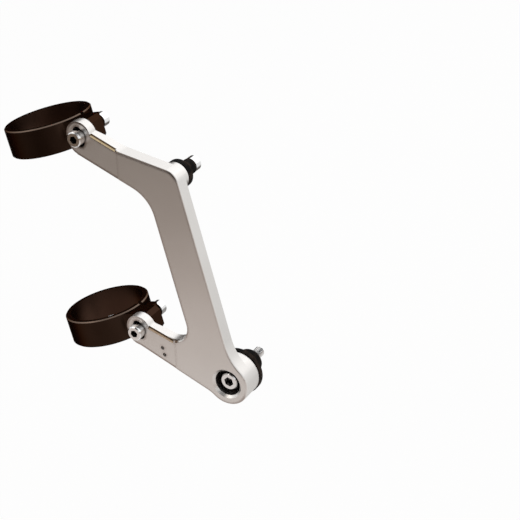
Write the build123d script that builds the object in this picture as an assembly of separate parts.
from build123d import *

import os
from math import atan2, cos, radians, sin, sqrt, tan

# Right-hand headlight bracket of a motorcycle: an aluminium arm held on a fork leg by two split clamps.
# +Z runs up the fork leg, +X points forward to the lamp and +Y points inboard.
# The origin is on the fork axis, at the middle of the lower clamp.

# Fork clamps
FORK_DIAMETER = 43.0
CLAMP_SPACING = 114.0
CLAMP_WALL = 3.0
CLAMP_HEIGHT = 16.0
CLAMP_RIM_BREAK = 0.6
CLAMP_SLIT = 2.6
NOSE_HEIGHT = 14.0
PINCH_EAR_HEIGHT = 11.0
EAR_CORNER = 1.5
PINCH_EAR_THICKNESS = 5.4
PINCH_EAR_LIP = 3.0
NOSE_THICKNESS = 11.2
NOSE_LIP = 5.0
NOSE_BLEND = 3.0
NOSE_BEVEL = 2.5
SCREW_PITCH = 4.6

# Socket cap screws, by thread size
M5_THREAD = 5.0
M5_HEAD = 8.5
M5_KEY = 4.0
M6_THREAD = 6.0
M6_HEAD = 10.0
M6_KEY = 5.0
HEAD_BREAK = 0.5
TIP_BREAK = 0.7
SOCKET_DEPTH_SHARE = 0.5
PINCH_ENGAGEMENT = 3.8
TIP_GAP = 0.9
LAMP_BOLT_LENGTH = 30.0
UPPER_SCREW_LENGTH = 20.0

# Fits
THREAD_CLEARANCE = 0.1
HOLE_CLEARANCE = 0.5
HEAD_CLEARANCE = 0.2
BUSH_CLEARANCE = 0.2
HOLE_RUNOUT = 0.2

# Arm: plate, tabs and outline
TAB_THICKNESS = 5.5
FACE_STEP = 0.8
POCKET_DEPTH = 1.7
POCKET_GAP = 1.5
POCKET_RUNOUT = 8.0
TAB_RADIUS = 7.5
TAB_RISE = 1.0
TAB_NOTCH = 3.0
SLOT_LENGTH = 11.5
UPPER_ARM_ANGLE = 36.0
UPPER_ARM_WIDTH = 15.4
UPPER_ARM_DROP = 3.1
KINK_REACH = 21.8
KINK_RADIUS = 20.0
LOWER_ARM_ANGLE = 32.5
LOWER_ARM_WIDTH = 14.2
LOWER_ARM_DROP = 2.1
STEP_REACH = 20.5
STEP_DROP = 15.0
STEP_LEAN = 15.0
BEAM_REACH = 33.3
BEAM_WIDTH = 21.2
BEND_DROP = 24.1
UPPER_INSIDE_RADIUS = 20.0
LOWER_INSIDE_RADIUS = 10.0
FACE_ROUND = 1.0
EDGE_BREAK = 0.5
BEVEL_START = 4.0
BEVEL_LENGTH = 16.5
BEVEL_WIDTH = 1.3
MARK_DIAMETER = 2.2
MARK_REACH = 12.5
MARK_DROPS = (11.2, 15.5)

# Lamp eye and its bush
EYE_REACH = 48.7
EYE_DROP = 32.7
EYE_RADIUS = 12.8
EYE_LENGTH = 14.0
EYE_UNDERCUT = 11.5
EYE_FRONT_BLEND = 30.0
EYE_REAR_BLEND = 15.0
EYE_BORE_BREAK = 1.3
BUSH_INSET = 8.5
BUSH_FLANGE_DIAMETER = 26.6
BUSH_FLANGE_THICKNESS = 3.2
BUSH_BODY_DIAMETER = 15.0
BUSH_BODY_LENGTH = 11.0
BUSH_END_ROUND = 2.2
BUSH_RIM_BREAK = 0.4

# Upper lamp mount
UPPER_BOSS_RADIUS = 7.8
UPPER_BOSS_INSET = 0.4
UPPER_BOSS_LENGTH = 12.0
UPPER_FLANGE_DIAMETER = 15.8
UPPER_FLANGE_THICKNESS = 4.6
UPPER_NECK_DIAMETER = 8.8
UPPER_NECK_LENGTH = 9.0
UPPER_RIM_BREAK = 0.8
UPPER_END_ROUND = 0.8

# Places worked out from the sizes above
CLAMP_RADIUS = FORK_DIAMETER / 2 + CLAMP_WALL
SLIT_HALF = CLAMP_SLIT / 2
PINCH_FACE_Y = SLIT_HALF + PINCH_EAR_THICKNESS
PINCH_X = sqrt(CLAMP_RADIUS**2 - PINCH_FACE_Y**2) + M5_HEAD / 2 + HEAD_CLEARANCE
ARM_SCREW_X = PINCH_X + SCREW_PITCH
NOSE_END = ARM_SCREW_X + NOSE_LIP
PINCH_EAR_END = PINCH_X + PINCH_EAR_LIP
SEAT_Y = -SLIT_HALF - NOSE_THICKNESS
TAB_FACE_Y = SEAT_Y - TAB_THICKNESS
FACE_Y = TAB_FACE_Y - FACE_STEP
PLATE_BACK_Y = SEAT_Y + POCKET_DEPTH
PINCH_LENGTH = PINCH_EAR_THICKNESS + CLAMP_SLIT + PINCH_ENGAGEMENT
ARM_SCREW_LENGTH = TAB_THICKNESS + NOSE_THICKNESS - PINCH_ENGAGEMENT - TIP_GAP
BEAM_BACK_X = ARM_SCREW_X + BEAM_REACH
BEAM_FRONT_X = BEAM_BACK_X + BEAM_WIDTH
STEP_X = ARM_SCREW_X + STEP_REACH
EYE_X = ARM_SCREW_X + EYE_REACH
EYE_Z = -EYE_DROP
EYE_BACK_Y = FACE_Y + EYE_LENGTH
EYE_BORE = BUSH_BODY_DIAMETER + BUSH_CLEARANCE
BOLT_SEAT_Y = FACE_Y + BUSH_INSET
BEND_RADIUS = UPPER_BOSS_RADIUS + UPPER_BOSS_INSET
BOSS_BACK_Y = FACE_Y + UPPER_BOSS_LENGTH
NECK_END_Y = BOSS_BACK_Y + UPPER_FLANGE_THICKNESS + UPPER_NECK_LENGTH
CLAMP_HEIGHTS = {"upper": CLAMP_SPACING, "lower": 0.0}
ARM_DROPS = {"upper": UPPER_ARM_DROP, "lower": LOWER_ARM_DROP}

ABOVE = (Align.CENTER, Align.CENTER, Align.MIN)
BELOW = (Align.CENTER, Align.CENTER, Align.MAX)


def facing(x, y, z, inboard):
    """Location whose own Z axis points inboard or outboard, for pieces that lie across the bracket."""
    return Plane(origin=(x, y, z), x_dir=(1, 0, 0), z_dir=(0, 1 if inboard else -1, 0)).location


def prism(profile, back_y, front_y):
    """Profile drawn in X and Z, made solid from its inboard side to its outboard side."""
    return extrude(Plane.XZ.offset(-back_y) * profile, amount=back_y - front_y)


def rod(x, z, diameter, back_y, front_y):
    return prism(Pos(x, z) * Circle(diameter / 2), back_y, front_y)


def boss(x, z, radius, back_y):
    """Round boss from the arm's outboard face to an inboard end with its edge broken."""
    solid = rod(x, z, 2 * radius, back_y, FACE_Y)
    return chamfer(solid.edges().filter_by(GeomType.CIRCLE).group_by(Axis.Y)[-1], EDGE_BREAK)


def slab(x_low, x_high, y_low, y_high, height):
    """Upright block between two X and two Y values, centred on the clamp's mid-height."""
    return Pos((x_low + x_high) / 2, (y_low + y_high) / 2) * Box(x_high - x_low, y_high - y_low, height)


def cap_screw(thread, length, head, key):
    """Socket cap screw along Z, with its head above the origin and its shank below."""
    body = Cylinder(head / 2, thread, align=ABOVE)
    body = chamfer(body.edges().group_by(Axis.Z)[-1], HEAD_BREAK)
    shank = Cylinder(thread / 2, length, align=BELOW)
    shank = chamfer(shank.edges().group_by(Axis.Z)[0], TIP_BREAK)
    hexagon = Pos(0, 0, thread) * RegularPolygon(key / 2, 6, major_radius=False)
    return body + shank - extrude(hexagon, amount=-thread * SOCKET_DEPTH_SHARE)


def rounded(profile, point, radius):
    """Profile with its corner nearest to a point rounded."""
    return fillet(profile.vertices().sort_by_distance(point)[0], radius)


def fork_clamp():
    """Split ring with a short pinch ear inboard of its slit and the arm's nose outboard of it."""
    ring = Cylinder(CLAMP_RADIUS, CLAMP_HEIGHT)
    ring = chamfer(ring.edges().filter_by(GeomType.CIRCLE), CLAMP_RIM_BREAK)
    pinch_ear = slab(0, PINCH_EAR_END, SLIT_HALF, PINCH_FACE_Y, PINCH_EAR_HEIGHT)
    pinch_ear = fillet(pinch_ear.edges().filter_by(Axis.Z).group_by(Axis.X)[-1], EAR_CORNER)
    nose_root = (sqrt(CLAMP_RADIUS**2 - SEAT_Y**2), SEAT_Y)
    block = Pos(0, -SLIT_HALF) * Rectangle(NOSE_END, NOSE_THICKNESS, align=(Align.MIN, Align.MAX))
    nose = rounded(Circle(CLAMP_RADIUS) + block, nose_root, NOSE_BLEND)
    nose = extrude(nose, amount=NOSE_HEIGHT / 2, both=True)
    nose = chamfer(nose.edges().filter_by(Axis.Y).group_by(Axis.X)[-1], NOSE_BEVEL)
    clamp = ring + pinch_ear + nose
    bore = Cylinder(FORK_DIAMETER / 2, CLAMP_HEIGHT)
    slit = slab(0, NOSE_END, -SLIT_HALF, SLIT_HALF, CLAMP_HEIGHT)
    pinch_end = PINCH_FACE_Y - PINCH_LENGTH - HOLE_RUNOUT
    pinch_tap = rod(PINCH_X, 0, M5_THREAD + THREAD_CLEARANCE, -SLIT_HALF, pinch_end)
    pinch_hole = rod(PINCH_X, 0, M5_THREAD + HOLE_CLEARANCE, PINCH_FACE_Y, SLIT_HALF)
    arm_end = TAB_FACE_Y + ARM_SCREW_LENGTH + HOLE_RUNOUT
    arm_tap = rod(ARM_SCREW_X, 0, M5_THREAD + THREAD_CLEARANCE, arm_end, SEAT_Y)
    return clamp - bore - slit - pinch_tap - pinch_hole - arm_tap


def arm_corners():
    """Corners of the arm's side view in X and Z, by name."""
    upper_slope = radians(UPPER_ARM_ANGLE)
    lower_slope = radians(LOWER_ARM_ANGLE)
    upper_x = UPPER_ARM_WIDTH / 2 * sin(upper_slope)
    upper_rise = UPPER_ARM_WIDTH / 2 * cos(upper_slope)
    upper_cut = UPPER_ARM_WIDTH / 2 / cos(upper_slope)
    lower_x = LOWER_ARM_WIDTH / 2 * sin(lower_slope)
    lower_rise = LOWER_ARM_WIDTH / 2 * cos(lower_slope)
    lower_cut = LOWER_ARM_WIDTH / 2 / cos(lower_slope)
    upper_z = CLAMP_SPACING - UPPER_ARM_DROP
    lower_z = -LOWER_ARM_DROP
    return {
        "upper_tab_top": (ARM_SCREW_X + upper_x, upper_z + upper_rise),
        "kink": (ARM_SCREW_X + KINK_REACH, upper_z + upper_cut - KINK_REACH * tan(upper_slope)),
        "bend": (BEAM_FRONT_X, CLAMP_SPACING - BEND_DROP),
        "front_of_eye": (BEAM_FRONT_X, EYE_Z),
        "under_eye": (EYE_X - EYE_UNDERCUT * sin(lower_slope), EYE_Z - EYE_UNDERCUT * cos(lower_slope)),
        "lower_tab_bottom": (ARM_SCREW_X - lower_x, lower_z - lower_rise),
        "lower_tab_top": (ARM_SCREW_X + lower_x, lower_z + lower_rise),
        "lower_inside": (BEAM_BACK_X, lower_z + lower_cut - BEAM_REACH * tan(lower_slope)),
        "upper_inside": (BEAM_BACK_X, upper_z - upper_cut - BEAM_REACH * tan(upper_slope)),
        "upper_tab_bottom": (ARM_SCREW_X - upper_x, upper_z - upper_rise),
    }


def bend_centre():
    """Centre of the bend's round, which the upper boss shares."""
    corners = arm_corners()
    kink_x, kink_z = corners["kink"]
    bend_x, bend_z = corners["bend"]
    fall = atan2(kink_z - bend_z, bend_x - kink_x)
    return bend_x - BEND_RADIUS, bend_z - BEND_RADIUS * (1 - sin(fall)) / cos(fall)


def arm_outline():
    """Side view of the arm: two sloping arms, an upright beam, two tab ends and the lamp eye."""
    corners = arm_corners()
    outline = make_face(Polyline(*corners.values(), close=True))
    outline = rounded(outline, corners["kink"], KINK_RADIUS)
    outline = rounded(outline, corners["bend"], BEND_RADIUS)
    outline = rounded(outline, corners["lower_inside"], LOWER_INSIDE_RADIUS)
    outline = rounded(outline, corners["upper_inside"], UPPER_INSIDE_RADIUS)
    outline += Pos(EYE_X, EYE_Z) * Circle(EYE_RADIUS)
    for name, height in CLAMP_HEIGHTS.items():
        tab_middle = height + (TAB_RISE - ARM_DROPS[name]) / 2
        tab = SlotCenterToCenter(TAB_RISE + ARM_DROPS[name], 2 * TAB_RADIUS)
        outline += Pos(ARM_SCREW_X, tab_middle) * Rot(0, 0, 90) * tab
        outline = rounded(outline, (ARM_SCREW_X + TAB_RADIUS, height + TAB_RISE), TAB_NOTCH)
    outline = rounded(outline, (BEAM_FRONT_X, EYE_Z + EYE_RADIUS), EYE_FRONT_BLEND)
    outline = rounded(outline, (EYE_X - EYE_RADIUS, corners["under_eye"][1]), EYE_REAR_BLEND)
    return outline


def edge_bevel(start, end):
    """Bar that cuts a bevel along part of an arm's upper edge, from the tab towards the beam."""
    start = Vector(start[0], TAB_FACE_Y, start[1])
    along = (Vector(end[0], TAB_FACE_Y, end[1]) - start).normalized()
    middle = start + along * (BEVEL_START + BEVEL_LENGTH / 2)
    edge = Plane(origin=middle, x_dir=along, z_dir=(0, -1, 0)).location
    return edge * Rot(45, 0, 0) * Box(BEVEL_LENGTH, BEVEL_WIDTH * sqrt(2), BEVEL_WIDTH * sqrt(2))


def bracket_arm():
    """Arm cast and machined in one piece, with its face outboard and its bosses inboard."""
    arm = prism(arm_outline(), PLATE_BACK_Y, FACE_Y)
    arm += boss(EYE_X, EYE_Z, EYE_RADIUS, EYE_BACK_Y)
    arm += boss(*bend_centre(), UPPER_BOSS_RADIUS, BOSS_BACK_Y)
    arm = fillet(arm.faces().sort_by(Axis.Y)[0].outer_wire().edges(), FACE_ROUND)
    pocket_end = NOSE_END + POCKET_GAP
    slope_end = pocket_end + POCKET_RUNOUT
    pocket = Polyline((0, SEAT_Y), (pocket_end, SEAT_Y), (slope_end, PLATE_BACK_Y), (0, PLATE_BACK_Y), close=True)
    arm -= Pos(0, 0, CLAMP_SPACING / 2) * extrude(make_face(pocket), amount=CLAMP_SPACING, both=True)
    for height in CLAMP_HEIGHTS.values():
        tab_side = Box(2 * STEP_REACH, FACE_STEP, CLAMP_SPACING / 2, align=(Align.MAX, Align.MIN, Align.CENTER))
        arm -= Pos(STEP_X, FACE_Y, height - STEP_DROP) * Rot(0, STEP_LEAN, 0) * tab_side
        slot = Rot(0, 0, 90) * SlotOverall(SLOT_LENGTH, M5_THREAD + HOLE_CLEARANCE)
        arm -= prism(Pos(ARM_SCREW_X, height) * slot, SEAT_Y, TAB_FACE_Y)
    corners = arm_corners()
    arm -= edge_bevel(corners["upper_tab_top"], corners["kink"])
    arm -= edge_bevel(corners["lower_tab_top"], corners["lower_inside"])
    for drop in MARK_DROPS:
        arm -= Pos(ARM_SCREW_X + MARK_REACH, TAB_FACE_Y, -drop) * Sphere(MARK_DIAMETER / 2)
    arm -= rod(EYE_X, EYE_Z, EYE_BORE, EYE_BACK_Y, FACE_Y)
    rim = arm.edges().filter_by(GeomType.CIRCLE).sort_by_distance((EYE_X, FACE_Y, EYE_Z + EYE_BORE / 2))[0]
    arm = chamfer(rim, EYE_BORE_BREAK)
    screw_end = NECK_END_Y - UPPER_SCREW_LENGTH - HOLE_RUNOUT
    arm -= rod(*bend_centre(), M5_THREAD + THREAD_CLEARANCE, BOSS_BACK_Y, screw_end)
    return arm


def flanged_bush(flange, thickness, body, length, root, hole, rim_break, end_round):
    """Rubber bush along Z: a flange from the origin up, a body with a rounded end and a root below the flange."""
    disc = Cylinder(flange / 2, thickness, align=ABOVE)
    disc = chamfer(disc.edges().group_by(Axis.Z)[-1], rim_break)
    foot = Pos(0, 0, -root)
    stem = foot * Cylinder(body / 2, root + thickness + length, align=ABOVE)
    stem = fillet(stem.edges().group_by(Axis.Z)[-1], end_round)
    return disc + stem - foot * Cylinder(hole / 2, root + thickness + length, align=ABOVE)


def lamp_bush():
    hole = M6_THREAD + HOLE_CLEARANCE
    bush = flanged_bush(BUSH_FLANGE_DIAMETER, BUSH_FLANGE_THICKNESS, BUSH_BODY_DIAMETER, BUSH_BODY_LENGTH,
                        EYE_BACK_Y - BOLT_SEAT_Y, hole, BUSH_RIM_BREAK, BUSH_END_ROUND)
    return facing(EYE_X, EYE_BACK_Y, EYE_Z, True) * bush


def upper_mount_bush():
    hole = M5_THREAD + HOLE_CLEARANCE
    bush = flanged_bush(UPPER_FLANGE_DIAMETER, UPPER_FLANGE_THICKNESS, UPPER_NECK_DIAMETER, UPPER_NECK_LENGTH,
                        0, hole, UPPER_RIM_BREAK, UPPER_END_ROUND)
    boss_x, boss_z = bend_centre()
    return facing(boss_x, BOSS_BACK_Y, boss_z, True) * bush


def make_parts():
    parts = {"bracket_arm": bracket_arm()}
    for name, height in CLAMP_HEIGHTS.items():
        parts[f"{name}_fork_clamp"] = Pos(0, 0, height) * fork_clamp()
        pinch = cap_screw(M5_THREAD, PINCH_LENGTH, M5_HEAD, M5_KEY)
        parts[f"{name}_pinch_screw"] = facing(PINCH_X, PINCH_FACE_Y, height, True) * pinch
        screw = cap_screw(M5_THREAD, ARM_SCREW_LENGTH, M5_HEAD, M5_KEY)
        parts[f"{name}_arm_screw"] = facing(ARM_SCREW_X, TAB_FACE_Y, height, False) * screw
    bolt = cap_screw(M6_THREAD, LAMP_BOLT_LENGTH, M6_HEAD, M6_KEY)
    parts["lamp_bush"] = lamp_bush()
    parts["lamp_bolt"] = facing(EYE_X, BOLT_SEAT_Y, EYE_Z, False) * bolt
    stud = cap_screw(M5_THREAD, UPPER_SCREW_LENGTH, M5_HEAD, M5_KEY)
    parts["upper_mount_bush"] = upper_mount_bush()
    boss_x, boss_z = bend_centre()
    parts["upper_mount_screw"] = facing(boss_x, NECK_END_Y, boss_z, True) * stud
    return parts


os.makedirs("parts", exist_ok=True)
for node, solid in make_parts().items():
    export_step(solid, f"parts/{node}.step")
